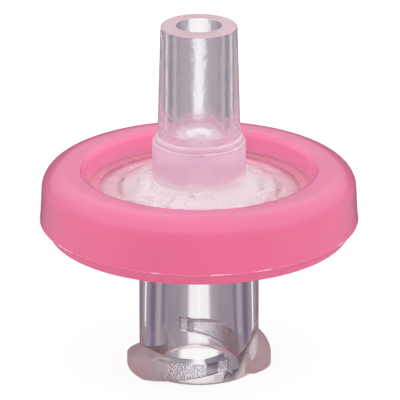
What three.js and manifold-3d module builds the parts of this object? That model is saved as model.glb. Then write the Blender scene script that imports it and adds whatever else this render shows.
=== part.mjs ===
// Disposable syringe filter with a 13 mm membrane.
// Two clear moulded halves clamp the membrane, and a soft ring is moulded round their flanges.
// Millimetres. +Z is the flow direction: the female Luer lock inlet stands at z = 0 and the
// male Luer slip outlet points up. Every profile below is a list of [radius, height] points.
import * as THREE from "three";
import { mergeVertices } from "three/addons/utils/BufferGeometryUtils.js";
import Module from "manifold-3d";

// ---- Driving dimensions -------------------------------------------------------------------

const SEGMENTS = 64; // facets round every turned surface
const ARC_STEPS = 4; // facets along a rounded edge

// Luer connection, common to both ends
const LUER_TAPER = 0.06; // change of diameter for each millimetre of length
const LUG_LEAD = 5.0; // advance of the lock's double-start thread in one turn

// Outlet half
const TOTAL_HEIGHT = 19.0;
const SLIP_TIP_DIAMETER = 4.0;
const SLIP_EDGE_ROUND = 0.15;
const OUTLET_BORE_DIAMETER = 2.4;
const OUTLET_BORE_FLOOR = 13.15; // height of the flat step where the bore narrows
const ORIFICE_DIAMETERS = [0.8, 1.2]; // narrow bore at that step, and at the filter chamber
const COLLAR_DIAMETER = 4.92;
const COLLAR_TOP = 13.0;
const COLLAR_SHOULDER = 0.4; // height of the rounded shoulder between slip and collar
const SHOULDER_EDGE = 0.1; // round of the shoulder's outer edge
const COLLAR_FILLET = 0.12;
const PLATE_HUB_HEIGHT = 10.57; // outer face of the outlet plate beside the collar
const PLATE_THICKNESS = 0.62;

// Flanges, membrane and filter chamber
const FLANGE_TOP = 10.08;
const FLANGE_BOTTOM = 8.66;
const FLANGE_DIAMETER = 14.0;
const MEMBRANE_DIAMETER = 13.0;
const MEMBRANE_THICKNESS = 0.14;
const MEMBRANE_TOP = 9.43;
const CHAMBER_DIAMETER = 10.6; // the part of the membrane that filters
const CHAMBER_WALL = 0.1; // height of the step at the chamber's edge

// Support ribs: concentric rings on the outlet plate, broken by radial channels
const RIB_RADII = [1.85, 2.7, 3.55, 4.4];
const RIB_WIDTH = 0.3;
const RIB_DRAFT = 0.05;
const RIB_GAP = 0.06; // the membrane bows onto the ribs when liquid presses on it
const CHANNEL_COUNT = 8;
const CHANNEL_WIDTH = 0.55;

// Inlet half
const TUBE_DIAMETER = 6.36;
const SOCKET_MOUTH_DIAMETER = 4.3;
const SOCKET_DEPTH = 7.5;
const MOUTH_CHAMFER_DIAMETER = 5.1;
const MOUTH_CHAMFER_DEPTH = 0.35;
const RIM_ROUND = 0.1;
const INLET_BORE_DIAMETER = 2.4;
const TUBE_FILLET = 0.3;
const INLET_HUB_DROP = 0.42; // how far the inlet plate swells towards the tube
const INLET_CHAMBER_DEPTH = 0.3;
const SPREADER_WIDTH = 0.35; // radial ribs that spread the sample under the membrane
const SPREADER_GAP = 0.05;

// Lock lugs
const LUG_DIAMETER = 7.7;
const LUG_SEAT_HEIGHT = 1.47; // the flat face that a lock collar pulls on
const LUG_FLANK_SLOPE = 0.55; // fall of the thread's flank for each millimetre outwards
const LUG_RUN_IN = [140, 176]; // degrees over which the lug grows out of the tube
const LUG_LEAVES_RIM = 219.6; // degrees where its lower face lifts off the rim
const LUG_MEETS_SEAT = 210; // degrees where the thread's root reaches the seat
const LUG_STOP_START = 276; // degrees where the seat climbs to the stop
const LUG_END = 295;
const LUG_STEP = 5; // degrees between sections
const LUG_EDGE = 0.08;
const LUG_ROOT_BITE = 0.28; // how deep the lug is rooted in the tube's wall

// Overmoulded ring
const RING_DIAMETER = 16.84; // at the parting line
const RING_PARTING_HEIGHT = 8.37;
const RING_TOP = 11.15;
const RING_BOTTOM = 7.59;
const RING_SHOULDER = [8.29, 10.09]; // where the crown's round meets the outer wall
const RING_CROWN_RADIUS = 7.05;
const RING_CHAMFER = [7.885, 7.67]; // lower end of the bevel under the parting line
const RING_OPENING_DIAMETER = 12.04; // at the crown
const RING_OPENING_DRAFT = 0.17; // how much nearer the axis its wall ends, at the flange
const RING_INNER_ROUND = 0.35;

// ---- Derived sizes ------------------------------------------------------------------------

const slipTip = SLIP_TIP_DIAMETER / 2;
const outletBore = OUTLET_BORE_DIAMETER / 2;
const [throat, orifice] = ORIFICE_DIAMETERS.map((diameter) => diameter / 2);
const collar = COLLAR_DIAMETER / 2;
const flange = FLANGE_DIAMETER / 2;
const membrane = MEMBRANE_DIAMETER / 2;
const membraneBottom = MEMBRANE_TOP - MEMBRANE_THICKNESS;
const chamber = CHAMBER_DIAMETER / 2;
const tube = TUBE_DIAMETER / 2;
const inletBore = INLET_BORE_DIAMETER / 2;
const lugCrest = LUG_DIAMETER / 2;
const plateSlope = (PLATE_HUB_HEIGHT - FLANGE_TOP) / (chamber - collar - COLLAR_FILLET);

// ---- Geometry helpers ---------------------------------------------------------------------

// Points of an elliptical quarter arc from a to b; it leaves a along the side towards corner.
function roundCorner(a, corner, b) {
  return Array.from({ length: ARC_STEPS + 1 }, (_, i) => {
    const t = ((i / ARC_STEPS) * Math.PI) / 2;
    const s = 1 - Math.cos(t);
    const c = Math.sin(t);
    return [
      a[0] + (corner[0] - a[0]) * c + (b[0] - corner[0]) * s,
      a[1] + (corner[1] - a[1]) * c + (b[1] - corner[1]) * s,
    ];
  });
}

// A closed [radius, height] profile turned round the Z axis.
function turned(profile) {
  const points = [...profile, profile[0]].map(([r, z]) => new THREE.Vector2(r, z));
  return new THREE.LatheGeometry(points, SEGMENTS).rotateX(Math.PI / 2);
}

// A solid through closed sections of equal length, each a list of Vector3, capped at both ends.
function lofted(sections) {
  const count = sections[0].length;
  const vertices = sections.flat().flatMap((p) => [p.x, p.y, p.z]);
  const index = [];
  for (let s = 0; s < sections.length - 1; s++)
    for (let i = 0; i < count; i++) {
      const a = s * count + i;
      const b = s * count + ((i + 1) % count);
      index.push(a, b + count, b, a, a + count, b + count);
    }
  const last = (sections.length - 1) * count;
  for (let i = 1; i < count - 1; i++) {
    index.push(0, i, i + 1);
    index.push(last, last + i + 1, last + i);
  }
  const geometry = new THREE.BufferGeometry();
  geometry.setAttribute("position", new THREE.Float32BufferAttribute(vertices, 3));
  geometry.setIndex(index);
  return geometry;
}

const wasm = await Module();
wasm.setup();

function toSolid(geometry) {
  const bare = geometry.clone();
  bare.deleteAttribute("normal");
  bare.deleteAttribute("uv");
  const merged = mergeVertices(bare, 1e-5);
  return new wasm.Manifold(
    new wasm.Mesh({
      numProp: 3,
      vertProperties: merged.attributes.position.array,
      triVerts: new Uint32Array(merged.index.array),
    }),
  );
}

function toGeometry(solid) {
  const { vertProperties, triVerts } = solid.getMesh();
  const geometry = new THREE.BufferGeometry();
  geometry.setAttribute("position", new THREE.BufferAttribute(vertProperties, 3));
  geometry.setIndex(new THREE.BufferAttribute(triVerts, 1));
  geometry.computeVertexNormals();
  return geometry;
}

// Copies of a geometry spaced evenly round the Z axis, the first one at startAngle.
function roundAxis(geometry, count, startAngle = 0) {
  return Array.from({ length: count }, (_, i) =>
    geometry.clone().rotateZ(startAngle + (i * 2 * Math.PI) / count),
  );
}

// ---- Outlet half --------------------------------------------------------------------------

// Height of the outlet plate's outer face, a shallow cone that rises to the collar.
function plateTop(r) {
  return FLANGE_TOP + Math.max(0, chamber - r) * plateSlope;
}

function outletProfile() {
  const slipBase = slipTip + ((TOTAL_HEIGHT - COLLAR_TOP) * LUER_TAPER) / 2;
  const filletFoot = collar + COLLAR_FILLET;
  const chamberRoof = MEMBRANE_TOP + CHAMBER_WALL;
  const orificeMouth = plateTop(filletFoot) - PLATE_THICKNESS;
  const shoulder = COLLAR_TOP - COLLAR_SHOULDER;
  return [
    [orifice, orificeMouth],
    [chamber, chamberRoof],
    [chamber, MEMBRANE_TOP],
    [flange, MEMBRANE_TOP],
    [flange, FLANGE_TOP],
    [chamber, FLANGE_TOP],
    ...roundCorner(
      [filletFoot, plateTop(filletFoot)],
      [collar, plateTop(filletFoot)],
      [collar, plateTop(filletFoot) + COLLAR_FILLET],
    ),
    [collar, shoulder],
    ...roundCorner(
      [collar - SHOULDER_EDGE, shoulder + SHOULDER_EDGE],
      [collar - SHOULDER_EDGE, COLLAR_TOP],
      [slipBase, COLLAR_TOP],
    ),
    ...roundCorner(
      [slipTip, TOTAL_HEIGHT - SLIP_EDGE_ROUND],
      [slipTip, TOTAL_HEIGHT],
      [slipTip - SLIP_EDGE_ROUND, TOTAL_HEIGHT],
    ),
    [outletBore, TOTAL_HEIGHT],
    [outletBore, OUTLET_BORE_FLOOR],
    [throat, OUTLET_BORE_FLOOR],
  ];
}

// Concentric ribs that hold the membrane off the plate, with channels to lead the filtrate in.
function supportRibs() {
  const foot = RIB_WIDTH / 2;
  const ribs = RIB_RADII.map((radius) => {
    const root = plateTop(radius) - PLATE_THICKNESS / 2;
    return toSolid(
      turned([
        [radius - foot, MEMBRANE_TOP + RIB_GAP],
        [radius + foot, MEMBRANE_TOP + RIB_GAP],
        [radius + foot + RIB_DRAFT, root],
        [radius - foot - RIB_DRAFT, root],
      ]),
    );
  });
  const cutter = new THREE.BoxGeometry(chamber, CHANNEL_WIDTH, PLATE_THICKNESS * 4);
  cutter.translate(chamber / 2, 0, MEMBRANE_TOP);
  const channels = roundAxis(cutter, CHANNEL_COUNT, Math.PI / CHANNEL_COUNT);
  return channels.reduce(
    (left, channel) => left.subtract(toSolid(channel)),
    ribs.reduce((all, rib) => all.add(rib)),
  );
}

function outletHousing() {
  return toGeometry(toSolid(turned(outletProfile())).add(supportRibs()));
}

// ---- Membrane -----------------------------------------------------------------------------

function filterMembrane() {
  return new THREE.CylinderGeometry(membrane, membrane, MEMBRANE_THICKNESS, SEGMENTS)
    .rotateX(Math.PI / 2)
    .translate(0, 0, MEMBRANE_TOP - MEMBRANE_THICKNESS / 2);
}

// ---- Inlet half ---------------------------------------------------------------------------

function socketRadius(z) {
  return (SOCKET_MOUTH_DIAMETER - LUER_TAPER * z) / 2;
}

function inletProfile() {
  const filletFoot = tube + TUBE_FILLET;
  const hub = FLANGE_BOTTOM - INLET_HUB_DROP;
  const chamberFloor = membraneBottom - INLET_CHAMBER_DEPTH;
  return [
    [MOUTH_CHAMFER_DIAMETER / 2, 0],
    ...roundCorner([tube - RIM_ROUND, 0], [tube, 0], [tube, RIM_ROUND]),
    ...roundCorner([tube, hub - TUBE_FILLET], [tube, hub], [filletFoot, hub]),
    [chamber, FLANGE_BOTTOM],
    [flange, FLANGE_BOTTOM],
    [flange, MEMBRANE_TOP],
    [membrane, MEMBRANE_TOP],
    [membrane, membraneBottom],
    [chamber, membraneBottom],
    [chamber, chamberFloor],
    [inletBore, chamberFloor],
    [inletBore, SOCKET_DEPTH],
    [socketRadius(SOCKET_DEPTH), SOCKET_DEPTH],
    [socketRadius(MOUTH_CHAMFER_DEPTH), MOUTH_CHAMFER_DEPTH],
  ];
}

// Low radial ribs on the chamber floor that spread the sample below the membrane.
function spreaderRibs() {
  const length = chamber - inletBore - RIB_WIDTH;
  const height = INLET_CHAMBER_DEPTH;
  const rib = new THREE.BoxGeometry(length, SPREADER_WIDTH, height);
  rib.translate(inletBore + RIB_WIDTH + length / 2, 0, membraneBottom - SPREADER_GAP - height / 2);
  return roundAxis(rib, CHANNEL_COUNT).map(toSolid);
}

// One lock lug: a right-hand thread ridge that grows out of the tube, rests on the rim plane,
// is trimmed by a flat seat on its far side and ends in a blunt face.
function lockLug() {
  const advance = (from, to) => (LUG_LEAD * (to - from)) / 360;
  const seat = (angle) => LUG_SEAT_HEIGHT + Math.max(0, advance(LUG_STOP_START, angle));
  const flank = (angle, r) =>
    LUG_SEAT_HEIGHT + advance(LUG_MEETS_SEAT, angle) - (r - tube) * LUG_FLANK_SLOPE;
  const top = (angle, r) => Math.min(flank(angle, r), seat(angle));
  const root = tube - LUG_ROOT_BITE;

  const section = (angle) => {
    const growth = THREE.MathUtils.smoothstep(angle, ...LUG_RUN_IN);
    const crest = tube - LUG_EDGE + (lugCrest - tube + LUG_EDGE) * growth;
    const middle = (tube + crest) / 2;
    const bottom = Math.max(0, advance(LUG_LEAVES_RIM, angle));
    const outline = [
      [root, bottom],
      [crest - LUG_EDGE, bottom],
      [crest, bottom + LUG_EDGE],
      [crest, top(angle, crest) - LUG_EDGE],
      [crest - LUG_EDGE, top(angle, crest - LUG_EDGE)],
      [middle, top(angle, middle)],
      [root, top(angle, tube)],
    ];
    const a = THREE.MathUtils.degToRad(angle);
    return outline.map(([r, z]) => new THREE.Vector3(r * Math.cos(a), r * Math.sin(a), z));
  };

  const count = Math.round((LUG_END - LUG_RUN_IN[0]) / LUG_STEP);
  return lofted(
    Array.from({ length: count + 1 }, (_, i) =>
      section(THREE.MathUtils.lerp(LUG_RUN_IN[0], LUG_END, i / count)),
    ),
  );
}

function inletHousing() {
  const lugs = roundAxis(lockLug(), 2).map(toSolid);
  const body = toSolid(turned(inletProfile()));
  return toGeometry([...spreaderRibs(), ...lugs].reduce((all, piece) => all.add(piece), body));
}

// ---- Overmoulded ring ---------------------------------------------------------------------

// C-shaped section that wraps both flanges.
function ringProfile() {
  const opening = RING_OPENING_DIAMETER / 2;
  const lip = opening - RING_OPENING_DRAFT;
  return [
    [lip, FLANGE_TOP],
    [flange, FLANGE_TOP],
    [flange, FLANGE_BOTTOM],
    [lip, FLANGE_BOTTOM],
    ...roundCorner(
      [opening, RING_BOTTOM + RING_INNER_ROUND],
      [opening, RING_BOTTOM],
      [opening + RING_INNER_ROUND, RING_BOTTOM],
    ),
    [RING_CROWN_RADIUS, RING_BOTTOM],
    RING_CHAMFER,
    [RING_DIAMETER / 2, RING_PARTING_HEIGHT],
    ...roundCorner(
      RING_SHOULDER,
      [RING_SHOULDER[0], RING_TOP],
      [RING_CROWN_RADIUS, RING_TOP],
    ),
    ...roundCorner(
      [opening + RING_INNER_ROUND, RING_TOP],
      [opening, RING_TOP],
      [opening, RING_TOP - RING_INNER_ROUND],
    ),
  ];
}

// ---- Assembly -----------------------------------------------------------------------------

const clearPlastic = new THREE.MeshStandardMaterial({
  color: 0xe9e2ec,
  roughness: 0.06,
  metalness: 0,
  transparent: true,
  opacity: 0.45,
});
const membraneWhite = new THREE.MeshStandardMaterial({
  color: 0xf4f1f0,
  roughness: 0.85,
  metalness: 0,
});
const pinkPlastic = new THREE.MeshStandardMaterial({
  color: 0xec7297,
  roughness: 0.38,
  metalness: 0,
});

function part(name, geometry, material) {
  const mesh = new THREE.Mesh(geometry, material);
  mesh.name = name;
  return mesh;
}

const syringeFilter = new THREE.Group();
syringeFilter.name = "syringe_filter";
syringeFilter.add(
  part("outlet_housing", outletHousing(), clearPlastic),
  part("filter_membrane", filterMembrane(), membraneWhite),
  part("inlet_housing", inletHousing(), clearPlastic),
  part("overmould_ring", turned(ringProfile()), pinkPlastic),
);

export default syringeFilter;
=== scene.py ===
"""Looks of a disposable syringe filter, built round its packed frame.

Metres, +Z up: the female lock inlet stands on the floor and the male slip outlet points up.
Two clear moulded halves clamp a white membrane, and a soft pink ring wraps their flanges.
A section is a list of (radius, height) points whose outer side runs upwards.
"""

import math

import bpy
import numpy as np
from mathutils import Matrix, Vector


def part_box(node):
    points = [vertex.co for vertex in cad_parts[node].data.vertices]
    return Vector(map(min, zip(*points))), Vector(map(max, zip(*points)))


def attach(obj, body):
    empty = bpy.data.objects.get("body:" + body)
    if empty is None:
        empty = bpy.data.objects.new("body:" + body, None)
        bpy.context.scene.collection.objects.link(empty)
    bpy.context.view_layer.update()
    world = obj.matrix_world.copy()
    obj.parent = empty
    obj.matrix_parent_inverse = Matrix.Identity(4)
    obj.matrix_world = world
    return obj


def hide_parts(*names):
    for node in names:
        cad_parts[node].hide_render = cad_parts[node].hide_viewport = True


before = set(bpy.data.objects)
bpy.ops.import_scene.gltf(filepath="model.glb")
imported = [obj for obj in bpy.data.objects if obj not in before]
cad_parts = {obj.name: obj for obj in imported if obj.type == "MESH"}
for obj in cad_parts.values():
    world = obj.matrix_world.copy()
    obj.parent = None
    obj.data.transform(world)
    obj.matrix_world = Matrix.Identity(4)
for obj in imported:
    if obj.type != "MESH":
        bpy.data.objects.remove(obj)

bl_info = {
    "name": "Syringe Filter Looks",
    "version": (1, 0, 0),
    "blender": (4, 5, 0),
    "location": "3D View > Sidebar > Syringe Filter",
    "description": "Builds the visible pieces, materials and studio of a 13 mm syringe filter",
    "category": "Object",
}

MM = 0.001
CRISP = math.radians(32)  # edges sharper than this stay crisp
WET = 0.005 * MM  # how far the clear flanges sink into the ring, so that they look moulded in
DRY = 0.004 * MM  # air left between the clear halves and the membrane
TUCK_FROM, TUCK_TO = 0.70, 0.72  # shares of the ring's radius where the plates slip into it
BEND = 0.3  # how far a three-point round stays from its corner, as a share of its radius
NICK = 0.03 * MM  # broken edge of the outlet's bore
# the funnel and the top of the narrow bore under it are whitened as a painted highlight where the
# bore's rough floor glares
FUNNEL_FALL, PAINTED_HIGHLIGHT_FALL = 0.7, 2.5  # depths below the bore's floor, in widths of the funnel

# Finishes are numbers of material slots: the outlet half's, the inlet half's own and the ring's
POLISHED, SATIN, GRAINED, SANDED, MILKY, ETCHED, CRAZED, PAINTED_HIGHLIGHT, HAZED = range(9)
# the inlet's last own slot is painted shade: a dark tint on the smooth part of each lug's crest
MISTED, SCUFFED, CREST_PAINTED_SHADE = 3, 4, 5
BODY, FLASH = 0, 1

# Inlet half: its lock lugs, their haze, and the spreader ribs
LUG_HEIGHTS = np.linspace(0.2, 1.9, 10)  # points of the tube that swell into a lug, in mm
LUG_FOOT = 0.05 * MM  # step between the tube and a lug's root
LUG_RISE = 0.25  # share of its growth in which a lug's outline takes over from the tube's
BLUNT = 1.2  # degrees over which a lug's crest falls back to its blunt end
PLAIN_TUBE = 2.3 * MM  # height above which the tube is plain all round
HAZE_ONSET = (math.radians(12), math.radians(-2))  # angles that the haze fades in between
HAZE_LAPSE = (-0.3, 0.35)  # radians round its end that the haze fades out between
HAZE_HEIGHT = (1.6 * MM, 2.3 * MM)  # heights that the haze fades out between
HAZY_RIM = (0.3 * MM, 0.1 * MM)  # heights that the rim's own haze comes in between
FLOOR_EDGE = (0.02 * MM, 0.03 * MM)  # from the chamber's edge to the spreaders' outer ends
FLOOR_HUB = (0.36 * MM, 0.3 * MM)  # from the bore to their inner ends
SPREADER_SOFT = 0.1 * MM  # width of their sloping sides

# Ring: the depth of its witness line under its edge in mm, and the height in half widths
WITNESS_LINE = ((0.05, -2.2), (0.01, -1), (0, 0), (0.01, 1), (0.03, 2.2))
WITNESS_WAVES = (3, 7, 11, 23, 41)  # waves round the ring that make the line uneven
WITNESS_SWAY = 0.25  # how far they move it, in heights of the line
BEVEL_LEAN = 0.05 * MM  # how far the round under the bevel leans inwards

# Plastics
CLEAR_IOR = 1.49
RING_IOR = 1.48
RING_DEPTHS = (1.0, 0.35, 0.5)  # how far red, green and blue light travel in the ring
NOISE_RANGE = (0.35, 0.65)  # the middle range of a noise, where most of its values lie
# painted light: where the ring's pink light fades in towards the edge of the filtering area
PINK_LIGHT_FROM, PINK_LIGHT_TO, PINK_LIGHT_FULL_FROM = 0.6, 0.8, 0.91  # shares of the filtering area's radius

# Light tent: white cards, and grey flats by the angle from the Y axis in degrees
WHITE = (1.0, 1.0, 1.0)
WARM_WHITE = (1.0, 0.985, 0.99)
CARD_EDGE = (0.45, 0.41, 0.45)
FLATS = (
    (10, (0.30, 0.27, 0.31)),
    (26, (0.24, 0.215, 0.265)),
    (33, (0.12, 0.095, 0.165)),
    (42, (0.10, 0.075, 0.14)),
    (48, (0.165, 0.135, 0.20)),
    (57, (0.36, 0.305, 0.35)),
    (70, (0.42, 0.36, 0.41)),
    (80, (0.34, 0.305, 0.35)),
)
SKY_EDGE = (0.1, 0.5)  # heights of a ray's direction between which the plain sky begins
SOFTBOX_EDGE = (0.48, 0.56)  # heights between which the softbox begins
SOFTBOX_DROP, SOFTBOX_LEAN = 0.2, 0.238  # how much lower that is at the sides and far away
SOFTBOX_GLOW = (0.5, 1.9, 0.35, 1.0)  # its strength low down and overhead, and those heights

# Room that satin skins mirror: its middle, its sides, far away and below
ROOM = (0.42, 0.31, 0.35)
ROOM_SIDES = (0.65, 0.50, 0.57)
ROOM_FAR = (0.24, 0.14, 0.17)
ROOM_BELOW = (0.78, 0.23, 0.36)

LAMPS = {  # place and width in metres, and watts
    "top_lamp": ((0.02, -0.07, 0.26), 0.16, 0.15),
    "left_lamp": ((-0.22, -0.05, 0.12), 0.10, 0.05),
    "right_lamp": ((0.22, -0.05, 0.12), 0.10, 0.075),
}

# ---- Sizes from the frame -----------------------------------------------------------------

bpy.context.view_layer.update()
outlet_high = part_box("outlet_housing")[1]
membrane_low, membrane_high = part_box("filter_membrane")
ring_low, ring_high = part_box("overmould_ring")

TIP_HEIGHT = outlet_high.z
FLANGE_RADIUS = outlet_high.x
MEMBRANE_RADIUS = membrane_high.x
MEMBRANE_TOP = membrane_high.z
MEMBRANE_BOTTOM = membrane_low.z
RING_RADIUS = ring_high.x
RING_TOP = ring_high.z
RING_BOTTOM = ring_low.z


def number(name, description, default, **settings):
    """A property that holds a plain number."""
    return bpy.props.FloatProperty(name=name, description=description, default=default, **settings)


def count(name, description, default, least=1):
    """A property that holds a whole number."""
    return bpy.props.IntProperty(name=name, description=description, default=default, min=least)


def length(name, description, millimetres):
    """A size property, given in millimetres and kept in metres."""
    return number(name, description, millimetres * MM, min=0.0, precision=5, unit="LENGTH")


def angle(name, description, degrees):
    """An angle property, given in degrees and kept in radians."""
    return number(name, description, math.radians(degrees), subtype="ANGLE")


def colour(name, description, rgb):
    """A colour property in linear light."""
    return bpy.props.FloatVectorProperty(
        name=name,
        description=description,
        default=rgb,
        min=0.0,
        max=1.0,
        size=3,
        subtype="COLOR",
    )


class LuerSizes(bpy.types.PropertyGroup):
    """Sizes that both ends share."""

    taper: number(
        "Taper",
        "Change of diameter for each unit of length of a slip or socket",
        0.06,
        min=0.0,
        max=0.2,
        subtype="FACTOR",
    )
    lead: length("Thread Lead", "Advance of the lock thread in one turn", 5.0)
    bore: length("Bore", "Diameter of the straight bores behind the tip and the socket", 2.4)


class OutletSizes(bpy.types.PropertyGroup):
    """Sizes of the clear outlet half."""

    tip: length("Tip", "Diameter of the male slip at its end", 4.0)
    tip_round: length("Tip Round", "Round of the slip's outer edge", 0.15)
    collar: length("Collar", "Diameter of the collar below the slip", 4.92)
    collar_top: length("Collar Top", "Height where the collar meets the slip", 13.0)
    shoulder: length("Shoulder", "Height of the collar's rounded shoulder", 0.4)
    edge: length("Shoulder Edge", "Round of the collar's upper edge", 0.1)
    orifice: length("Orifice", "Diameter of the narrow bore at the membrane side", 1.2)
    orifice_throat: length("Orifice Throat", "Diameter of the narrow bore at its top", 0.8)
    orifice_top: length("Orifice Top", "Height where the bore narrows", 13.15)
    funnel: length("Funnel", "Width of the whitened cone round the narrow bore", 0.3)
    haze_low: length("Haze Low", "Height below which the plastic is milky", 12.9)
    haze_high: length("Haze High", "Height above which the plastic is clear", 13.9)
    fillet: length("Fillet", "Round where the collar meets the plate", 0.12)
    hub: length("Hub", "Height of the plate beside the collar", 10.57)
    wall: length("Wall", "Thickness of the plate", 0.62)
    flange_top: length("Flange Top", "Height of the flat rim under the ring", 10.08)
    chamber: length("Chamber", "Diameter of the filtering area", 10.6)
    chamber_wall: length("Chamber Wall", "Height of the step at the chamber's edge", 0.1)
    first_rib: length("First Rib", "Radius of the innermost support rib", 1.85)
    rib_step: length("Rib Step", "Distance between support ribs", 0.85)
    rib_width: length("Rib Width", "Width of a support rib at the membrane", 0.3)
    rib_draft: length("Rib Draft", "How much wider a rib's root is on each side", 0.22)
    rib_count: count("Ribs", "Number of concentric support ribs", 4, least=0)
    channels: count("Channels", "Number of radial channels through the ribs", 8)
    channel_width: length("Channel Width", "Width of a radial channel", 0.55)


class InletSizes(bpy.types.PropertyGroup):
    """Sizes of the clear inlet half."""

    tube: length("Tube", "Diameter of the socket's tube", 6.36)
    mouth: length("Mouth", "Diameter of the tapered socket at the rim", 4.3)
    depth: length("Depth", "Depth of the tapered socket", 7.5)
    chamfer: length("Chamfer", "Diameter of the chamfer at the mouth", 5.1)
    chamfer_depth: length("Chamfer Depth", "Depth of the chamfer at the mouth", 0.35)
    rim_round: length("Rim Round", "Round of the rim's outer edge", 0.1)
    flange_bottom: length("Flange Bottom", "Height of the flange's lower face", 8.66)
    hub_drop: length("Hub Drop", "How far the plate swells towards the tube", 0.42)
    fillet: length("Fillet", "Round where the tube meets the plate", 0.3)
    floor: length("Chamber Floor", "Depth of the chamber under the membrane", 0.3)
    spreaders: count("Spreaders", "Number of ribs on the chamber floor", 8)
    spreader: length("Spreader", "Width of a rib on the chamber floor", 0.35)
    spreader_gap: length("Spreader Gap", "Gap between those ribs and the membrane", 0.05)
    lug: length("Lug", "Diameter across the lock lugs", 7.7)
    lug_edge: length("Lug Edge", "Round of the lugs' edges", 0.08)
    seat: length("Seat", "Height of the flat face that a lock collar pulls on", 1.47)
    flank: number("Flank Slope", "Fall of the thread's flank for each unit outwards", 0.55)
    run_in: angle("Run In", "Where a lug starts to grow out of the tube", 140)
    creep: angle("Haze Creep", "How far before a lug's start the haze begins", 20)
    lean: angle("Haze Lean", "How far round its start shifts for each millimetre of height", 14)
    hazy: angle("Hazy Lug", "How far round from its start a lug is milky", 99)
    hazy_wall: angle("Hazy Wall", "How far round the tube over a lug's start is milky", 30)
    full: angle("Full Lug", "Where a lug has its full width", 176)
    leaves_rim: angle("Leaves Rim", "Where a lug's lower face lifts off the rim", 219.6)
    meets_seat: angle("Meets Seat", "Where the thread's root reaches the seat", 210)
    stop: angle("Stop", "Where the seat climbs", 276)
    smooth_from: angle("Smooth From", "Where a lug's beaded crest turns smooth", 276)
    smooth_to: angle("Smooth To", "Where a lug's crest is beaded again", 284)
    end: angle("End", "Where a lug ends in a blunt face", 295)


class RingSizes(bpy.types.PropertyGroup):
    """Sizes of the pink ring."""

    parting: length("Parting Line", "Height of the widest edge", 8.37)
    shoulder_radius: length("Shoulder Radius", "Radius where the wall meets the crown", 8.29)
    shoulder_height: length("Shoulder Height", "Height where the wall meets the crown", 10.09)
    crown: length("Crown", "Radius where the crown's round ends", 7.05)
    bevel_radius: length("Bevel Radius", "Radius of the bevel's lower end", 7.885)
    bevel_height: length("Bevel Height", "Height of the bevel's lower end", 7.67)
    opening: length("Opening", "Diameter of the opening at the crown", 12.04)
    draft: length("Draft", "How much nearer the axis the opening's wall ends", 0.17)
    inner_round: length("Inner Round", "Round of the opening's edges", 0.35)
    flash: length("Flash", "Height of the thin witness line at the parting edge", 0.03)


class Finishes(bpy.types.PropertyGroup):
    """Colours of the moulded materials."""

    clear: colour("Clear Plastic", "Tint of the clear halves", (0.985, 0.975, 0.985))
    frosted: colour("Frosted Plastic", "Colour of the sanded end face", (0.76, 0.58, 0.62))
    # painted highlight: near-white plastic on the funnel and the narrow bore, standing in for
    # their glare
    highlighted: colour("Painted Highlight Plastic", "Colour of the narrow bore's wall", (0.99, 0.95, 0.97))
    # the collar's haze is real, and its pink is painted light from the ring
    milky: colour("Milky Plastic", "Colour of the collar's milky plastic", (0.90, 0.64, 0.79))
    foot: colour("Collar Foot", "Colour of that plastic low down", (0.97, 0.89, 0.93))
    # the shoulder's haze is real, and its pink is painted light from the ring
    shoulder: colour("Hazed Shoulder", "Colour of the collar's shoulder", (0.89, 0.68, 0.78))
    lug: colour("Lug Haze", "Colour of the milky part of the lock lugs", (0.53, 0.395, 0.42))
    # painted shade: this dark tint stands in for the dark surroundings seen through the smooth
    # crest
    crest_painted_shade: colour("Crest Painted Shade", "Colour of the smooth part of a lug's crest", (0.16, 0.15, 0.18))
    rib_side: colour("Ribbed Side", "Colour of the ribbed side of the plate", (0.98, 0.90, 0.93))
    # painted shade: the crown is tinted darker and bluer than the wall to offset the stronger
    # light from above
    crown: colour("Ring Crown Painted Shade", "Colour of the ring's crown", (0.74, 0.155, 0.325))
    wall: colour("Ring Wall", "Colour of the ring's outer wall", (0.83, 0.165, 0.315))
    # painted highlight: whitish streaks along the parting edge stand in for its glint
    flash: colour("Ring Flash Painted Glint", "Colour of the flash where it is thinnest", (0.95, 0.62, 0.72))
    # painted light: the lip is tinted lighter than the wall to brighten the shaded inner wall
    lip: colour("Ring Lip Painted Light", "Colour of the thin lip round the opening", (0.98, 0.245, 0.44))
    # painted light: the pink that the ring sends onto the membrane's rim and the plate's edge,
    # made pale to lighten the shade under its lip
    clamped: colour("Clamped Rim", "Colour of the membrane's clamped rim", (0.90, 0.38, 0.50))
    membrane: colour("Membrane", "Colour of the membrane", (0.93, 0.87, 0.89))


class Studio(bpy.types.PropertyGroup):
    """Camera, lamps, floor and surroundings."""

    distance: length("Camera Distance", "From the camera to the filter's middle", 197.6)
    target: length("Camera Target", "Height that the camera orbits", 9.92)
    elevation: angle("Camera Elevation", "How high the camera stands", 20.6)
    pitch: angle("Camera Pitch", "How far the camera looks down", 20.77)
    aside: length("Camera Aside", "How far the camera stands to the right", 0.053)
    lens: number("Lens", "Focal length in millimetres", 337.5, min=1.0)
    daylight: number("Daylight", "Strength of the light from all round", 0.9, min=0.0)
    card: angle("White Card", "Half the width of each white card round the filter", 3.6)


# ---- Mesh helpers -------------------------------------------------------------------------


def round_corner(a, corner, b, steps=8):
    """Points of an elliptical quarter arc from a to b, leaving a towards corner."""
    turns = [i / steps * math.pi / 2 for i in range(steps + 1)]
    return [
        tuple(
            a[k] + (corner[k] - a[k]) * math.sin(t) + (b[k] - corner[k]) * (1 - math.cos(t))
            for k in (0, 1)
        )
        for t in turns
    ]


def all_round(degrees):
    """Angles round the Z axis, degrees apart."""
    return np.arange(0, 2 * math.pi, math.radians(degrees))


def smooth(low, high, value):
    """0 below low, 1 above high, and an even S between them."""
    share = np.clip((value - low) / (high - low), 0.0, 1.0)
    return share * share * (3 - 2 * share)


def to_spoke(turn, spokes, start=0.0):
    """Angle from the nearest of some spokes round the axis, the first one at start."""
    gap = 2 * math.pi / spokes
    return (turn - start + gap / 2) % gap - gap / 2


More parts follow.
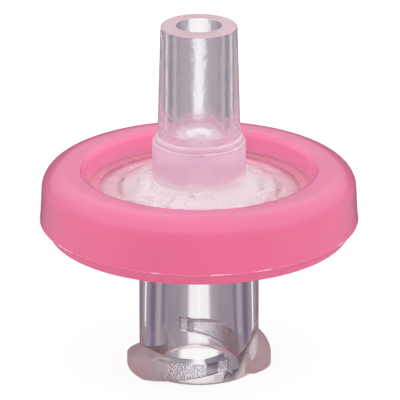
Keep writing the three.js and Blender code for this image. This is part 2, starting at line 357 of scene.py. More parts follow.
def swept(name, sections, turns, finish):
    """A closed piece through sections round the Z axis, an array of angle, point, (r, z).
    finish has the material slot of each strip, from a point to the next."""
    rows, points = sections.shape[:2]
    radius, height = sections[..., 0], sections[..., 1]
    places = np.stack(
        [radius * np.cos(turns)[:, None], radius * np.sin(turns)[:, None], height], axis=-1
    )
    row, point = np.meshgrid(np.arange(rows), np.arange(points), indexing="ij")
    across, along = (row + 1) % rows, (point + 1) % points
    corners = ((row, point), (across, point), (across, along), (row, along))
    quads = np.stack([r * points + p for r, p in corners], axis=-1)
    mesh = bpy.data.meshes.new(name)
    mesh.from_pydata(places.reshape(-1, 3).tolist(), [], quads.reshape(-1, 4).tolist())
    mesh.shade_smooth()
    mesh.polygons.foreach_set("material_index", finish.reshape(-1).tolist())
    mesh.set_sharp_from_angle(angle=CRISP)
    if mesh.validate():
        raise RuntimeError(f"{name} has faces that Blender had to mend")
    piece = bpy.data.objects.new(name, mesh)
    bpy.context.scene.collection.objects.link(piece)
    return piece


def settle(piece, node, slot, *materials):
    """Gives a piece its materials and its place in the frame, and hides the frame's part for the
    node that it stands for.
    """
    for material in materials:
        piece.data.materials.append(material)
    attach(piece, "root")
    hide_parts(node)


# ---- Material helpers ---------------------------------------------------------------------


def new_material(name):
    """An empty node material and its Principled shader, wired to the output."""
    material = bpy.data.materials.get(name) or bpy.data.materials.new(name)
    material.use_nodes = True
    tree = material.node_tree
    tree.nodes.clear()
    output = tree.nodes.new("ShaderNodeOutputMaterial")
    shader = tree.nodes.new("ShaderNodeBsdfPrincipled")
    tree.links.new(shader.outputs["BSDF"], output.inputs["Surface"])
    return material, tree, shader


def feed(tree, made, inputs):
    """Sets inputs of a node. inputs maps a socket's name or number to a value or an output."""
    for key, value in inputs.items():
        if isinstance(value, bpy.types.NodeSocket):
            tree.links.new(value, made.inputs[key])
        else:
            made.inputs[key].default_value = value


def node(tree, kind, inputs=None, **settings):
    """Adds a node, with its settings and what feed takes as inputs."""
    made = tree.nodes.new("ShaderNode" + kind)
    for key, value in settings.items():
        setattr(made, key, value)
    feed(tree, made, inputs or {})
    return made


def calc(tree, operation, *values, **settings):
    """The result of a Math node on values, each a number or an output."""
    made = node(tree, "Math", dict(enumerate(values)), operation=operation, **settings)
    return made.outputs[0]


def remap(tree, value, low, high, start=0.0, end=1.0, kind="LINEAR"):
    """Low where value is at start and high where it is at end, and no further beyond them."""
    inputs = {"Value": value, "From Min": start, "From Max": end, "To Min": low, "To Max": high}
    return node(tree, "MapRange", inputs, interpolation_type=kind).outputs["Result"]


def ramp(tree, value, start, end, low=0.0, high=1.0):
    """As remap, with an even S from start to end."""
    return remap(tree, value, low, high, start, end, "SMOOTHSTEP")


def spread(tree, noise, low=0.0, high=1.0):
    """Maps a noise's middle range to low and high."""
    return remap(tree, noise, low, high, *NOISE_RANGE)


def blend(tree, share, below, above):
    """Mixes two colours, each an output or an (r, g, b)."""
    inputs = {"Factor": share}
    for key, rgb in (("A", below), ("B", above)):
        inputs[key] = rgb if isinstance(rgb, bpy.types.NodeSocket) else (*rgb, 1)
    return node(tree, "Mix", inputs, data_type="RGBA").outputs["Result"]


def scaled(rgb, gain):
    """A colour made lighter or darker, up to white."""
    return [min(1.0, c * gain) for c in rgb]


def paled(rgb, share):
    """A colour moved towards white."""
    return [share + (1 - share) * c for c in rgb]


def position(tree):
    """The shaded point in the object's own space."""
    return node(tree, "TexCoord").outputs["Object"]


def axes(tree, vector):
    """The X, Y and Z of a vector, as outputs by name."""
    return node(tree, "SeparateXYZ", {0: vector}).outputs


def from_axis(tree):
    """Distance from the Z axis."""
    flat = node(tree, "VectorMath", {0: position(tree), 1: (1, 1, 0)}, operation="MULTIPLY")
    return node(tree, "VectorMath", {0: flat.outputs[0]}, operation="LENGTH").outputs["Value"]


def grain(tree, per_mm, stretch=(1, 1, 1), detail=2.0, warp=0.0):
    """Noise with about per_mm features in a millimetre, in the object's own space."""
    place = node(tree, "Mapping", {"Vector": position(tree), "Scale": stretch}).outputs["Vector"]
    inputs = {"Vector": place, "Scale": per_mm / MM, "Detail": detail, "Distortion": warp}
    return node(tree, "TexNoise", inputs).outputs["Fac"]


def flow_lines(tree):
    """Bump layer of the faint lines that the melt left along a clear part."""
    return grain(tree, 1.1, (1, 1, 0.22), 2.0, 0.4), 0.0012 * MM


def ring_pink_painted_light(tree, base, pink_light):
    """Paints the ring's pink light onto a colour towards the edge of the filtering area."""
    chamber = bpy.context.scene.filter_outlet.chamber / 2
    near = ramp(tree, from_axis(tree), PINK_LIGHT_FROM * chamber, PINK_LIGHT_TO * chamber)
    full_pink_light = ramp(tree, from_axis(tree), PINK_LIGHT_FULL_FROM * chamber, chamber)
    return blend(tree, full_pink_light, blend(tree, near, base, paled(pink_light, 0.45)), pink_light)


def bumped(tree, shader, *layers):
    """Stacks bumps on a shader. A layer is a height output and its depth in metres."""
    normal = None
    for height, depth in layers:
        inputs = {"Height": height, "Strength": 1.0, "Distance": depth}
        if normal is not None:
            inputs["Normal"] = normal
        normal = node(tree, "Bump", inputs).outputs["Normal"]
    tree.links.new(normal, shader.inputs["Normal"])


def clear_plastic(name, tint, rough=0.015, crackle=0.0, through=1.0, grains=6.0, pink_light=None):
    """Clear moulded plastic, hazy where through is low. crackle is the depth of its surface's
    grain in millimetres, and grains is how many of them a millimetre holds."""
    material, tree, shader = new_material(name)
    haze = grain(tree, 0.5, detail=3.0)
    base = blend(tree, spread(tree, haze), tint, scaled(tint, 1.01))
    # painted pink light from the ring, for a plastic given one
    if pink_light is not None:
        base = ring_pink_painted_light(tree, base, pink_light)
    skin = {"Base Color": base, "Roughness": spread(tree, haze, rough, rough * 2.2)}
    feed(tree, shader, {**skin, "Transmission Weight": through, "IOR": CLEAR_IOR})
    layers = [flow_lines(tree)]
    if crackle:
        layers.append((grain(tree, grains, detail=1.0), crackle * MM))
    bumped(tree, shader, *layers)
    return material


def hazy_plastic(name, sizes, tints):
    """The collar's plastic: pale at its foot, milky above it and clear up in the slip. Its milky
    haze is real, and the pink of the milky part is painted light from the ring.
    """
    material, tree, shader = new_material(name)
    low, high = sizes.haze_low, sizes.haze_high
    depth = high - low
    height = axes(tree, position(tree))["Z"]
    uneven = calc(tree, "MULTIPLY_ADD", grain(tree, 0.6, detail=3.0), depth, height)
    clear = ramp(tree, uneven, low + 0.5 * depth, high + 0.5 * depth)
    risen = ramp(tree, uneven, sizes.hub + 0.75 * depth, sizes.hub + 1.15 * depth)
    # milky haze whose pink is painted light from the ring
    milk_with_painted_pink = blend(tree, risen, tints.foot, tints.milky)
    skin = {
        "Base Color": blend(tree, clear, milk_with_painted_pink, tints.clear),
        "Transmission Weight": remap(tree, clear, 0.45, 0.91),
        "Roughness": remap(tree, clear, 0.38, 0.12),
        "IOR": CLEAR_IOR,
    }
    feed(tree, shader, skin)
    bumped(tree, shader, flow_lines(tree))
    return material


def lug_plastic(name, tint, haze, hazy, rough, crackle=0.0):
    """Plastic of the lock end: milky where each lug grows out of the tube, for an angle of hazy
    from its start, and clear elsewhere. crackle is the depth of a crest's beads in millimetres."""
    material, tree, shader = new_material(name)
    sizes = bpy.context.scene.filter_inlet
    place = axes(tree, position(tree))
    turn = calc(tree, "ARCTAN2", place["Y"], place["X"])
    since = calc(tree, "SUBTRACT", turn, sizes.run_in - sizes.creep)
    along = calc(tree, "WRAP", since, 0.0, math.pi)
    cloud = grain(tree, 2.0, detail=3.0)

    def fade(value, start, end, share):
        """Falls from 1 to 0 between start and end, shifted by share of the way by the cloud."""
        shift = (end - start) * share
        moved = calc(tree, "MULTIPLY_ADD", cloud, shift, value)
        return ramp(tree, moved, start + shift / 2, end + shift / 2, 1.0, 0.0)

    climbed = calc(tree, "MULTIPLY_ADD", place["Z"], -sizes.lean / MM, along)
    begun = fade(climbed, *HAZE_ONSET, 0.3)
    lasts = fade(along, *(sizes.creep + hazy + step for step in HAZE_LAPSE), 0.5)
    low = fade(place["Z"], *HAZE_HEIGHT, 0.5)
    milky = calc(tree, "MULTIPLY", calc(tree, "MULTIPLY", begun, lasts), low)
    milky = calc(tree, "MAXIMUM", milky, remap(tree, place["Z"], 0.0, 0.5, *HAZY_RIM))
    skin = {
        "Base Color": blend(tree, milky, tint, haze),
        "Transmission Weight": remap(tree, milky, 1.0, 0.15),
        "Roughness": remap(tree, milky, rough, 0.32),
        "IOR": CLEAR_IOR,
    }
    feed(tree, shader, skin)
    layers = [flow_lines(tree)]
    if crackle:
        beads = spread(tree, grain(tree, 12.0, detail=0.0))
        beaded = fade(lasts, 0.4, 1.0, 0.0)
        layers.append((calc(tree, "MULTIPLY", beads, beaded), crackle * MM))
    bumped(tree, shader, *layers)
    return material


def frosted_plastic(tint):
    """The slip's end face, left matt by the mould's parting."""
    material, tree, shader = new_material("Frosted Clear Plastic")
    speck = grain(tree, 4.0, detail=3.0)
    skin = {
        "Base Color": blend(tree, spread(tree, speck), tint, scaled(tint, 1.08)),
        "Roughness": spread(tree, speck, 0.42, 0.6),
        "Transmission Weight": 0.45,
        "IOR": CLEAR_IOR,
    }
    feed(tree, shader, skin)
    bumped(tree, shader, (speck, 0.006 * MM))
    return material


def ring_plastic(crown, wall, lip):
    """Soft pink plastic: waxy depth, satin skin, faint clouds and sink marks. The outer wall has
    the ring's own pink, the crown a darker, bluer tint that is painted shade against the stronger
    light from above, and the thin lip round the opening a lighter tint that is painted light on
    its shaded wall."""
    material, tree, shader = new_material("Pink Ring Plastic")
    sizes = bpy.context.scene.filter_ring
    opening = sizes.opening / 2
    height = axes(tree, position(tree))["Z"]
    # the ring's own pink on the wall, painted shade on the crown and painted light round the
    # opening
    upward = ramp(tree, height, sizes.shoulder_height - 0.3 * MM, RING_TOP - 0.2 * MM)
    outward = ramp(tree, from_axis(tree), opening, opening + 0.6 * sizes.inner_round)
    pink_with_painted_light = blend(tree, outward, lip, blend(tree, upward, wall, crown))
    cloud = spread(tree, grain(tree, 0.16), 0.97, 1.03)
    clouded = node(tree, "VectorMath", {0: pink_with_painted_light, 1: cloud}, operation="MULTIPLY")
    grained = grain(tree, 7.0)
    skin = {
        "Base Color": clouded.outputs[0],
        "Roughness": spread(tree, grained, 0.16, 0.24),
        "Subsurface Weight": 0.6,
        "Subsurface Radius": RING_DEPTHS,
        "Subsurface Scale": 0.9 * MM,
        "IOR": RING_IOR,
        "Coat Weight": 0.8,
        "Coat Roughness": 0.03,
    }
    feed(tree, shader, skin)
    sink_marks = grain(tree, 0.3, detail=1.0)
    bumped(tree, shader, (sink_marks, 0.05 * MM), (grained, 0.0016 * MM))
    return material


def flash_plastic(wall, pale):
    """Thin flash along the ring's parting edge, with whitish streaks painted on as the glint along
    it.
    """
    material, tree, shader = new_material("Pink Flash Plastic With Painted Glints")
    # painted glint: streaks where the flash turns whitish
    thin = ramp(tree, grain(tree, 0.9, (1, 1, 0.5), 2.0, 0.6), 0.52, 0.64)
    skin = {
        "Base Color": blend(tree, thin, wall, pale),
        "Roughness": spread(tree, grain(tree, 7.0), 0.2, 0.35),
        "Subsurface Weight": 0.3,
        "Subsurface Radius": RING_DEPTHS,
        "Subsurface Scale": 0.3 * MM,
    }
    feed(tree, shader, skin)
    bumped(tree, shader, (grain(tree, 3.0, detail=1.0), 0.02 * MM))
    return material


def membrane_weave(tint, clamped):
    """Matt white fibrous membrane, whose clamped rim is painted pink as the light that comes
    through the ring, which also lightens the shade under the ring's lip.
    """
    material, tree, shader = new_material("Membrane Fibres")
    fibre = grain(tree, 14.0, (1, 1, 0.3), 4.0, 1.2)
    base = ring_pink_painted_light(tree, blend(tree, spread(tree, fibre), scaled(tint, 0.93), tint), clamped)
    feed(tree, shader, {"Base Color": base, "Roughness": 0.9, "Specular IOR Level": 0.2})
    bumped(tree, shader, (fibre, 0.01 * MM))
    return material


# ---- Clear outlet half --------------------------------------------------------------------


def outlet_sections(sizes, luer, turns):
    """Sections of the outlet half, whose support ribs are broken at each channel, and the
    finish of each strip."""
    bore, orifice, throat = luer.bore / 2, sizes.orifice / 2, sizes.orifice_throat / 2
    chamber, collar = sizes.chamber / 2, sizes.collar / 2
    tip, foot = sizes.tip / 2, collar + sizes.fillet
    slip_base = tip + (TIP_HEIGHT - sizes.collar_top) * luer.taper / 2
    roof = MEMBRANE_TOP + sizes.chamber_wall
    mouth = sizes.hub - sizes.wall
    under = MEMBRANE_TOP + DRY

    # the underside from the bore outwards: radius, share of the way down to a rib's foot
    plate = [(orifice, 0.0)]
    half = sizes.rib_width / 2
    shape = [
        (half + sizes.rib_draft * (1 - step), float(smooth(0, 1, step)))
        for step in (0, 0.2, 0.4, 0.6, 0.8, 1)
    ]
    for i in range(sizes.rib_count):
        centre = sizes.first_rib + i * sizes.rib_step
        plate += [(centre - out, share) for out, share in shape]
        plate += [(centre + out, share) for out, share in reversed(shape)]
    plate.append((chamber, 0.0))
    radius = np.array([r for r, _ in plate])
    share = np.array([s for _, s in plate])
    bare = mouth + (roof - mouth) * (radius - orifice) / (chamber - orifice)
    from_channel = np.abs(
        radius * np.sin(to_spoke(turns, sizes.channels, math.pi / sizes.channels))[:, None]
    )
    side = sizes.channel_width / 2
    rib = share * smooth(side, side + sizes.rib_draft, from_channel)
    underside = np.stack(
        [np.broadcast_to(radius, rib.shape), bare + (under - bare) * rib], axis=-1
    )

    flange, top = FLANGE_RADIUS + WET, sizes.flange_top + WET
    outside = [(chamber, under), (flange, under), (flange, top)]
    face_from = len(plate) + len(outside) - 1
    outside += [(RING_RADIUS * TUCK_TO, top), (RING_RADIUS * TUCK_FROM, sizes.flange_top)]
    beside_ring = len(plate) + len(outside) - 1
    outside += [(chamber, sizes.flange_top)]
    outside += round_corner(
        (foot, sizes.hub), (collar, sizes.hub), (collar, sizes.hub + sizes.fillet)
    )
    milky_from = len(plate) + len(outside) - 1
    ledge = sizes.collar_top - sizes.shoulder
    ledge_from = len(plate) + len(outside)
    outside += [(collar, ledge), (collar - BEND * sizes.edge, ledge + (1 - BEND) * sizes.edge)]
    outside += round_corner(
        (collar - sizes.edge, ledge + sizes.edge),
        (collar - sizes.edge, sizes.collar_top),
        (slip_base, sizes.collar_top),
    )
    slip_from = len(plate) + len(outside) - 1
    sanded_from = slip_from + 3  # the start of the tip's round stays clear
    outside += round_corner(
        (tip, TIP_HEIGHT - sizes.tip_round), (tip, TIP_HEIGHT), (tip - sizes.tip_round, TIP_HEIGHT)
    )
    outside += [(bore + NICK, TIP_HEIGHT), (bore, TIP_HEIGHT - NICK)]
    etched_from = len(plate) + len(outside) - 1
    outside += [(bore, sizes.orifice_top), (throat + sizes.funnel, sizes.orifice_top)]
    outside += [(throat, sizes.orifice_top - FUNNEL_FALL * sizes.funnel)]
    outside += [(throat, sizes.orifice_top - PAINTED_HIGHLIGHT_FALL * sizes.funnel)]
    outside = np.broadcast_to(np.array(outside), (len(turns), len(outside), 2))
    sections = np.concatenate([underside, outside], axis=1)
    finish = np.full(sections.shape[:2], POLISHED)
    finish[:, : len(plate)] = GRAINED
    finish[:, face_from:milky_from] = SATIN
    finish[:, beside_ring] = GRAINED
    finish[:, milky_from : slip_from + 1] = MILKY
    finish[:, ledge_from:slip_from] = HAZED
    finish[:, sanded_from:etched_from] = SANDED
    finish[:, etched_from] = ETCHED
    finish[:, etched_from + 1] = CRAZED
    # painted highlight: nearly opaque white on the funnel and the top of the narrow bore
    finish[:, etched_from + 2 : etched_from + 4] = PAINTED_HIGHLIGHT
    finish[:, etched_from + 4] = MILKY
    return sections, finish


class FILTER_OT_outlet(bpy.types.Operator):
    """Build the clear outlet half: male slip, collar, plate and support ribs"""

    bl_idname = "filter.outlet"
    bl_label = "Build Outlet Half"

    def execute(self, context):
        scene = context.scene
        turns = all_round(1)
        sizes = scene.filter_outlet
        sections, finish = outlet_sections(sizes, scene.filter_luer, turns)
        piece = swept("clear_outlet_half", sections, turns, finish)
        tints = scene.filter_finishes
        clear = tints.clear
        finishes = [
            clear_plastic("Clear Outlet Plastic", clear, rough=0.04, through=0.95),
            clear_plastic("Satin Outlet Plastic", clear, rough=0.18, crackle=0.025, grains=1.6),
            clear_plastic(
                "Grained Outlet Plastic",
                tints.rib_side,
                rough=0.16,
                crackle=0.008,
                through=0.45,
                # the plate's edge takes painted pink light from the ring
                pink_light=tints.clamped,
            ),
            frosted_plastic(tints.frosted),
            hazy_plastic("Milky Outlet Plastic", sizes, tints),
            clear_plastic("Etched Outlet Plastic", clear, rough=0.06, crackle=0.02, grains=2.5),
            clear_plastic("Crazed Outlet Plastic", clear, crackle=0.06, grains=3.0),
            # painted highlight: nearly opaque white where the bore's floor glares
            clear_plastic(
                "Painted Highlight Outlet Plastic", tints.highlighted, rough=0.2, crackle=0.03, through=0.1
            ),
            # hazed shoulder, with painted pink light from the ring
            clear_plastic(
                "Hazed Shoulder Plastic",
                tints.shoulder,
                rough=0.2,
                crackle=0.04,
                through=0.65,
                grains=1.6,
            ),
        ]
        settle(piece, "outlet_housing", "outlet_clear", *finishes)
        piece.visible_shadow = False  # so that lamps reach the membrane through the clear plate
        return {"FINISHED"}


# ---- Membrane -----------------------------------------------------------------------------


class FILTER_OT_membrane(bpy.types.Operator):
    """Finish the membrane that the two halves clamp"""

    bl_idname = "filter.membrane"
    bl_label = "Finish Membrane"

    def execute(self, context):
        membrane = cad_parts["filter_membrane"]
        membrane.data.materials.clear()
        tints = context.scene.filter_finishes
        membrane.data.materials.append(membrane_weave(tints.membrane, tints.clamped))
        return {"FINISHED"}


# ---- Clear inlet half ---------------------------------------------------------------------


def lug_section(sizes, luer, turn):
    """Outline of a lock lug at one angle, from the rim upwards, how far it has grown out of the
    plain tube, and the height of its lower face."""
    tube, crest_full = sizes.tube / 2, sizes.lug / 2
    local = (turn - sizes.run_in) % math.pi + sizes.run_in
    plain = [(tube, z * MM) for z in LUG_HEIGHTS]
    if local > sizes.end + 1e-6:
        return plain, 0.0, 0.0
    advance = luer.lead / (2 * math.pi)
    growth = float(smooth(sizes.run_in, sizes.full, local))
    blunt = float(smooth(sizes.end, sizes.end - math.radians(BLUNT), local))
    bottom = max(0.0, advance * (local - sizes.leaves_rim))
    seat = sizes.seat + max(0.0, advance * (local - sizes.stop))
    crest = tube + (crest_full - tube) * growth - sizes.lug_edge * (1 - blunt)
    edge = sizes.lug_edge * growth

    def top(r):
        flank = sizes.seat + advance * (local - sizes.meets_seat) - (r - tube) * sizes.flank
        return min(flank, seat)

    root = tube + LUG_FOOT * growth
    lug = [
        (root, bottom),
        (crest - edge, bottom),
        (crest - BEND * edge, bottom + BEND * edge),
        (crest, bottom + edge),
        (crest, top(crest) - edge),
        (crest - BEND * edge, top(crest) - BEND * edge),
        (crest - edge, top(crest - edge)),
        ((tube + crest) / 2, top((tube + crest) / 2)),
        (root, top(root)),
        (tube, top(root) + LUG_FOOT),
    ]
    risen = float(smooth(0.0, LUG_RISE, growth))
    mixed = [(r, z0 + (z - z0) * risen) for (r, z), (_, z0) in zip(lug, plain)]
    return mixed, risen, bottom


def inlet_sections(sizes, luer, turns):
    """Sections of the inlet half, one for each angle, and the finish of each strip."""
    tube, bore = sizes.tube / 2, luer.bore / 2
    chamber = bpy.context.scene.filter_outlet.chamber / 2
    hub = sizes.flange_bottom - sizes.hub_drop
    foot = tube + sizes.fillet
    flange = FLANGE_RADIUS + WET
    floor = MEMBRANE_BOTTOM - sizes.floor
    upper = MEMBRANE_BOTTOM - DRY
    spreader_top = MEMBRANE_BOTTOM - sizes.spreader_gap
    narrow = (sizes.mouth - luer.taper * sizes.depth) / 2
    wide = (sizes.mouth - luer.taper * sizes.chamfer_depth) / 2
    mouth = [(sizes.chamfer / 2, 0.0)]
    rim = [
        (tube - sizes.rim_round, 0.0),
        (tube - BEND * sizes.rim_round, BEND * sizes.rim_round),
        (tube, sizes.rim_round),
    ]
    above = [(tube, PLAIN_TUBE)]
    above += round_corner((tube, hub - sizes.fillet), (tube, hub), (foot, hub))
    above += [(chamber, sizes.flange_bottom), (RING_RADIUS * TUCK_FROM, sizes.flange_bottom)]
    above += [(RING_RADIUS * TUCK_TO, sizes.flange_bottom - WET)]
    above += [(flange, sizes.flange_bottom - WET), (flange, MEMBRANE_TOP - DRY)]
    above += [(MEMBRANE_RADIUS + DRY, MEMBRANE_TOP - DRY), (MEMBRANE_RADIUS + DRY, upper)]
    above += [(chamber, upper)]
    # the chamber's floor from its edge inwards: radius, share of the way up to a spreader's top
    spoke = [(chamber - FLOOR_EDGE[0], 0), (chamber - FLOOR_EDGE[1], 1)]
    spoke += [(bore + FLOOR_HUB[0], 1), (bore + FLOOR_HUB[1], 0), (bore, 0)]
    side = sizes.spreader / 2
    below = [(bore, sizes.depth), (narrow, sizes.depth), (wide, sizes.chamfer_depth)]

    sections, finish = [], []
    for turn in turns:
        lug, risen, bottom = lug_section(sizes, luer, turn)
        foot_rim = [(r, z + (min(z, bottom) - z) * risen) for r, z in rim]
        aside = abs(math.sin(to_spoke(turn, sizes.spreaders)))
        ribs = []
        for r, share in spoke:
            on_rib = 1 - float(smooth(side, side + SPREADER_SOFT, r * aside))
            ribs.append((r, floor + (spreader_top - floor) * share * on_rib))
        column = mouth + foot_rim + lug + above + ribs + below
        sections.append(column)
        marks = np.full(len(column), POLISHED)
        lug_from = len(mouth) + len(foot_rim)
        marks[len(mouth) : lug_from + len(lug)] = MISTED
        if risen > 0.0:
            marks[lug_from : lug_from + len(lug) - 1] = SATIN
            local = (turn - sizes.run_in) % math.pi + sizes.run_in
            # the smooth part of the crest takes the dark slot, which is painted shade
            smooth_painted_shade = sizes.smooth_from < local < sizes.smooth_to
            marks[lug_from + 2 : lug_from + 6] = CREST_PAINTED_SHADE if smooth_painted_shade else GRAINED  # the crest
        marks[-len(below) :] = SCUFFED
        finish.append(marks)
    return np.array(sections), np.array(finish)


class FILTER_OT_inlet(bpy.types.Operator):
    """Build the clear inlet half: female lock socket, lugs, plate and spreader ribs"""

    bl_idname = "filter.inlet"
    bl_label = "Build Inlet Half"

    def execute(self, context):
        scene = context.scene
        sizes = scene.filter_inlet
        turns = set(np.round(np.arange(0, 360, 1.0), 3))
        # closer sections where the two lugs end
        first = math.degrees(sizes.end) % 180
        for end in (first, first + 180):
            turns.update(round(end + step, 3) for step in (-BLUNT, -0.5 * BLUNT, -0.3, 0.08))
        turns = np.radians(sorted(turns))
        sections, finish = inlet_sections(sizes, scene.filter_luer, turns)
        piece = swept("clear_inlet_half", sections, turns, finish)
        tints = scene.filter_finishes
        tint, haze = tints.clear, tints.lug
        mist = paled(haze, 0.5)
        finishes = [
            clear_plastic("Clear Inlet Plastic", tint),
            lug_plastic("Smooth Lug Plastic", tint, haze, sizes.hazy, rough=0.11),
            lug_plastic("Beaded Lug Plastic", tint, haze, sizes.hazy, rough=0.05, crackle=0.015),
            lug_plastic("Misted Tube Plastic", tint, mist, sizes.hazy_wall, rough=0.015),
            clear_plastic("Scuffed Socket Plastic", tint, rough=0.035),
            # painted shade on the smooth part of each crest
            clear_plastic("Crest Painted Shade Plastic", tints.crest_painted_shade, rough=0.08, crackle=0.006),
        ]
        settle(piece, "inlet_housing", "inlet_clear", *finishes)
        piece.visible_shadow = False  # so that lamps reach the lugs on the far side
        return {"FINISHED"}


# ---- Pink ring ----------------------------------------------------------------------------


def ring_sections(sizes, outlet, inlet, turns):
    """Sections of the ring, whose parting edge carries a thin uneven witness line, and the
    finish of each strip."""
    opening = sizes.opening / 2
    lip = opening - sizes.draft
    inner = sizes.inner_round
    section = [
        (lip, outlet.flange_top),
        (FLANGE_RADIUS, outlet.flange_top),
        (FLANGE_RADIUS, inlet.flange_bottom),
        (lip, inlet.flange_bottom),
    ]
    section += round_corner(
        (opening, RING_BOTTOM + inner), (opening, RING_BOTTOM), (opening + inner, RING_BOTTOM)
    )
    section += round_corner(
        (sizes.crown, RING_BOTTOM),
        (sizes.bevel_radius - BEVEL_LEAN, RING_BOTTOM),
        (sizes.bevel_radius, sizes.bevel_height),
        4,
    )
    edge_from = len(section)
    bead = sizes.flash / 2
    section += [
        (RING_RADIUS - depth * MM, sizes.parting + rise * bead) for depth, rise in WITNESS_LINE
    ]
    edge_to = len(section)
    section += round_corner(
        (sizes.shoulder_radius, sizes.shoulder_height),
        (sizes.shoulder_radius, RING_TOP),
        (sizes.crown, RING_TOP),
        16,
    )
    section += round_corner(
        (opening + inner, RING_TOP), (opening, RING_TOP), (opening, RING_TOP - inner)
    )
    sections = np.tile(np.array(section), (len(turns), 1, 1))
    wave = sum(np.sin(turns * k + k * k) / k for k in WITNESS_WAVES)
    sections[:, edge_from:edge_to, 1] += (WITNESS_SWAY * sizes.flash * wave)[:, None]
    finish = np.full(sections.shape[:2], BODY)
    finish[:, edge_from : edge_to - 1] = FLASH
    return sections, finish


class FILTER_OT_ring(bpy.types.Operator):
    """Build the pink ring moulded round the flanges"""

    bl_idname = "filter.ring"
    bl_label = "Build Ring"

    def execute(self, context):
        scene = context.scene
        turns = all_round(1.25)
        sections, finish = ring_sections(
            scene.filter_ring, scene.filter_outlet, scene.filter_inlet, turns
        )
        piece = swept("soft_pink_ring", sections, turns, finish)
        tints = scene.filter_finishes
        body = ring_plastic(tints.crown, tints.wall, tints.lip)
        settle(piece, "overmould_ring", "ring", body, flash_plastic(tints.wall, tints.flash))
        return {"FINISHED"}


# ---- Stage --------------------------------------------------------------------------------


def either(tree, share, first, second):
    """The first shader node where share is 0, and the second where it is 1."""
    return node(tree, "MixShader", {0: share, 1: first.outputs[0], 2: second.outputs[0]})


def floor_material():
    """Pale floor that the camera sees as white paper, with the filter's shadow left on it."""
    material, tree, shader = new_material("Pale Floor")
    matt = {"Base Color": (0.8, 0.8, 0.8, 1), "Roughness": 0.9, "Specular IOR Level": 0.0}
    feed(tree, shader, matt)
    shown = node(tree, "BsdfDiffuse", {"Color": (0.28, 0.28, 0.28, 1)})
    paper = node(tree, "Emission", {"Color": (*WHITE, 1), "Strength": 0.8})
    white = node(tree, "AddShader", {0: shown.outputs[0], 1: paper.outputs[0]})
    seen = either(tree, node(tree, "LightPath").outputs["Is Camera Ray"], shader, white)
    output = next(n for n in tree.nodes if n.type == "OUTPUT_MATERIAL")
    tree.links.new(seen.outputs[0], output.inputs["Surface"])
    return material


def build_world(studio):
    """White for the camera, soft light for the surfaces, and a tent for what the plastics bend
    and mirror: white cards among grey flats, a softbox overhead, and a room for satin skins."""
    world = bpy.data.worlds.new("Light Tent")
    bpy.context.scene.world = world
    world.use_nodes = True
    tree = world.node_tree
    tree.nodes.clear()
    output = node(tree, "OutputWorld")
    toward = axes(tree, node(tree, "TexCoord").outputs["Generated"])
    rays = node(tree, "LightPath").outputs
    glossy, passing = rays["Is Glossy Ray"], rays["Is Transmission Ray"]

    # cards and flats, by a ray's angle from the Y axis as a share of a quarter turn
    quarter = math.pi / 2
    turn = calc(tree, "ARCTAN2", toward["X"], toward["Y"])
    share = calc(tree, "DIVIDE", calc(tree, "PINGPONG", turn, quarter), quarter)
    flats = node(tree, "ValToRGB", {"Fac": share})
    card = math.degrees(studio.card)
    stops = [(0, WHITE), (card, WARM_WHITE), (card * 1.35, CARD_EDGE)]
    stops += [*FLATS, (90 - card, CARD_EDGE), (90, WHITE)]
    shades = flats.color_ramp.elements
    while len(shades) < len(stops):
        shades.new(0.5)
    for element, (degrees, rgb) in zip(shades, stops):
        element.position = degrees / 90
        element.color = (*rgb, 1)

    # a softbox for glossy rays, and a plain sky for the rest
    aside = calc(tree, "ABSOLUTE", toward["X"])
    dropped = calc(tree, "MULTIPLY_ADD", aside, SOFTBOX_DROP, toward["Z"])
    leaned = calc(tree, "MULTIPLY_ADD", toward["Y"], SOFTBOX_LEAN, dropped)
    glow = remap(tree, toward["Z"], *SOFTBOX_GLOW)
    softbox = calc(tree, "MULTIPLY", ramp(tree, leaned, *SOFTBOX_EDGE), glow)
    sky = ramp(tree, toward["Z"], *SKY_EDGE)
    above = node(tree, "Mix", {"Factor": glossy, "A": sky, "B": softbox}).outputs["Result"]

    # the room, for rays that are glossy without passing through the plastic
    room = ROOM
    for reach, start, end, rgb in (
        (aside, 0.6, 0.95, ROOM_SIDES),
        (toward["Y"], 0.7, 0.92, ROOM_FAR),
        (toward["Z"], -0.34, -0.52, ROOM_BELOW),
    ):
        room = blend(tree, ramp(tree, reach, start, end), room, rgb)
    mirrored = calc(tree, "SUBTRACT", glossy, passing, use_clamp=True)
    around = blend(tree, mirrored, flats.outputs["Color"], room)
    tent = blend(tree, above, around, WARM_WHITE)

    soft = node(tree, "Background", {"Color": (*WARM_WHITE, 1), "Strength": studio.daylight})
    bent = node(tree, "Background", {"Color": tent, "Strength": 1.0})
    white = node(tree, "Background", {"Color": (*WHITE, 1), "Strength": 1.0})
    lit = either(tree, calc(tree, "MAXIMUM", glossy, passing), soft, bent)
    seen = either(tree, rays["Is Camera Ray"], lit, white)
    tree.links.new(seen.outputs[0], output.inputs["Surface"])


def add_lamp(name, place, size, watts):
    """A soft round lamp at place, turned towards the filter's middle."""
    lamp = bpy.data.lights.new(name, "AREA")
    lamp.shape = "DISK"
    lamp.size = size
    lamp.energy = watts
    holder = bpy.data.objects.new(name, lamp)
    bpy.context.scene.collection.objects.link(holder)
    holder.location = place
    holder.visible_glossy = False  # the tent's softbox stands for it in reflections
    x, y, z = np.array(place) - (0, 0, TIP_HEIGHT / 2)
    tilt, swing = math.atan2(math.hypot(x, y), z), math.atan2(y, x) + math.pi / 2
    holder.rotation_euler = (tilt, 0, swing)


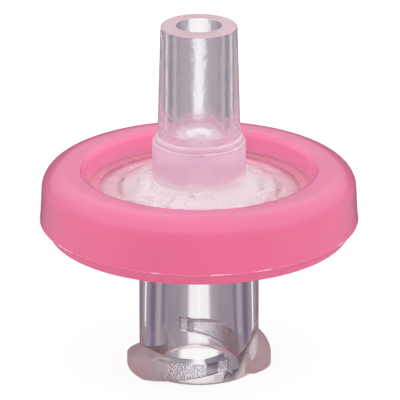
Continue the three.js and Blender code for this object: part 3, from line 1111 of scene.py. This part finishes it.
class FILTER_OT_stage(bpy.types.Operator):
    """Set up the floor, surroundings, lamps and camera"""

    bl_idname = "filter.stage"
    bl_label = "Set Stage"

    def execute(self, context):
        scene = context.scene
        studio = scene.filter_studio
        bpy.ops.mesh.primitive_plane_add(size=2.0)
        floor = context.object
        floor.name = "studio_floor"
        floor.data.materials.append(floor_material())
        floor.visible_transmission = False
        floor.visible_glossy = False
        build_world(studio)
        for name, lamp in LAMPS.items():
            add_lamp(name, *lamp)

        lens = bpy.data.cameras.new("studio_camera")
        camera = bpy.data.objects.new("studio_camera", lens)
        scene.collection.objects.link(camera)
        camera.location = (
            studio.aside,
            -studio.distance * math.cos(studio.elevation),
            studio.target + studio.distance * math.sin(studio.elevation),
        )
        camera.rotation_euler = (math.pi / 2 - studio.pitch, 0, 0)
        lens.lens = studio.lens
        lens.sensor_width = 36
        lens.clip_start = 0.01
        scene.camera = camera
        scene.view_settings.view_transform = "Standard"
        return {"FINISHED"}


# ---- Panel and registration ---------------------------------------------------------------

GROUPS = {
    "filter_luer": LuerSizes,
    "filter_outlet": OutletSizes,
    "filter_inlet": InletSizes,
    "filter_ring": RingSizes,
    "filter_finishes": Finishes,
    "filter_studio": Studio,
}
STEPS = (
    FILTER_OT_outlet,
    FILTER_OT_membrane,
    FILTER_OT_inlet,
    FILTER_OT_ring,
    FILTER_OT_stage,
)


class FILTER_PT_panel(bpy.types.Panel):
    """Sizes, colours and build steps of the filter"""

    bl_idname = "FILTER_PT_panel"
    bl_label = "Syringe Filter"
    bl_space_type = "VIEW_3D"
    bl_region_type = "UI"
    bl_category = "Syringe Filter"

    def draw(self, context):
        for name, group in GROUPS.items():
            box = self.layout.box()
            box.label(text=group.__doc__)
            for prop in group.__annotations__:
                box.prop(getattr(context.scene, name), prop)
        for step in STEPS:
            self.layout.operator(step.bl_idname)


def register():
    for cls in (*GROUPS.values(), *STEPS, FILTER_PT_panel):
        bpy.utils.register_class(cls)
    for name, group in GROUPS.items():
        setattr(bpy.types.Scene, name, bpy.props.PointerProperty(type=group))


def unregister():
    for name in GROUPS:
        delattr(bpy.types.Scene, name)
    for cls in reversed((*GROUPS.values(), *STEPS, FILTER_PT_panel)):
        bpy.utils.unregister_class(cls)


def main():
    register()
    bpy.ops.filter.stage()
    bpy.ops.filter.membrane()
    bpy.ops.filter.inlet()
    bpy.ops.filter.outlet()
    bpy.ops.filter.ring()


if __name__ == "__main__":
    main()
